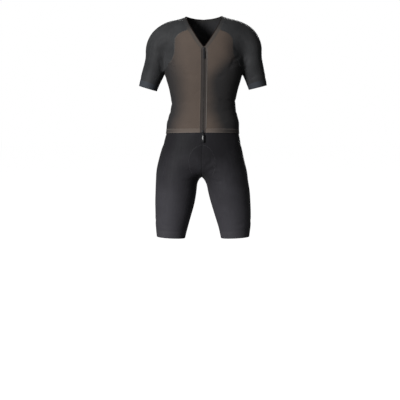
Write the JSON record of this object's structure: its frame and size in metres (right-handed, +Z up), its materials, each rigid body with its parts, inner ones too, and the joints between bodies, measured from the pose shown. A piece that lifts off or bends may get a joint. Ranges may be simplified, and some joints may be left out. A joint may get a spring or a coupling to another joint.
{
  "type": "triathlon suit",
  "caption": "One-piece triathlon suit in its worn, hollow form: short raglan sleeves, a mesh front that zips down to a free jersey hem, and close shorts with wide leg bands.",
  "frame": {"origin": "between the wearer's shoulders at the base of the neck, where the suit hangs from them", "axes": "+Z up the body, -Y out of the front, +X towards the wearer's left"},
  "size_m": [0.5367, 0.2505, 0.9321],
  "materials": {
    "front_mesh": "fine knitted mesh, warm taupe",
    "back_knit": "smooth stretch knit, dark grey",
    "sleeve_knit": "finely ribbed stretch knit with a soft sheen, dark grey",
    "shorts_knit": "dense stretch knit with a faint sheen, near black",
    "grip_band": "elastic band, cool grey",
    "hem_band": "soft tape, light taupe",
    "neck_band": "soft tape, grey",
    "neck_binding": "folded narrow binding, dark brown",
    "zip_tape": "woven tape, charcoal",
    "zip_coil": "nylon coil, charcoal",
    "zip_metal": "dark lacquered metal",
    "pull_tab": "matte moulded rubber, black"
  },
  "bodies": {
    "suit": {"front_mesh_right": "front_mesh", "front_mesh_left": "front_mesh", "back_panel": "back_knit", "sleeve_right": "sleeve_knit", "sleeve_left": "sleeve_knit", "cuff_band_right": "grip_band", "cuff_band_left": "grip_band", "shorts_right": "shorts_knit", "shorts_left": "shorts_knit", "leg_band_right": "grip_band", "leg_band_left": "grip_band", "hem_band_right": "hem_band", "hem_band_left": "hem_band", "neck_band": "neck_band", "neck_binding": "neck_binding", "zip_tape_right": "zip_tape", "zip_tape_left": "zip_tape", "zip_chain": "zip_coil", "zip_top_slider": "zip_metal", "zip_lower_slider": "zip_metal"},
    "top_pull": {"zip_top_pull": "pull_tab"},
    "lower_pull": {"zip_lower_pull": "pull_tab"}
  },
  "joints": [
    {"name": "top_pull_swing", "type": "hinge", "parent": "suit", "child": "top_pull", "pos_m": [0.00017, -0.11485, -0.12904], "axis": [-1, 0, 0], "range_deg": [0, 165]},
    {"name": "lower_pull_swing", "type": "hinge", "parent": "suit", "child": "lower_pull", "pos_m": [-0.00461, -0.11101, -0.46692], "axis": [-1, 0, 0], "range_deg": [0, 165]}
  ]
}
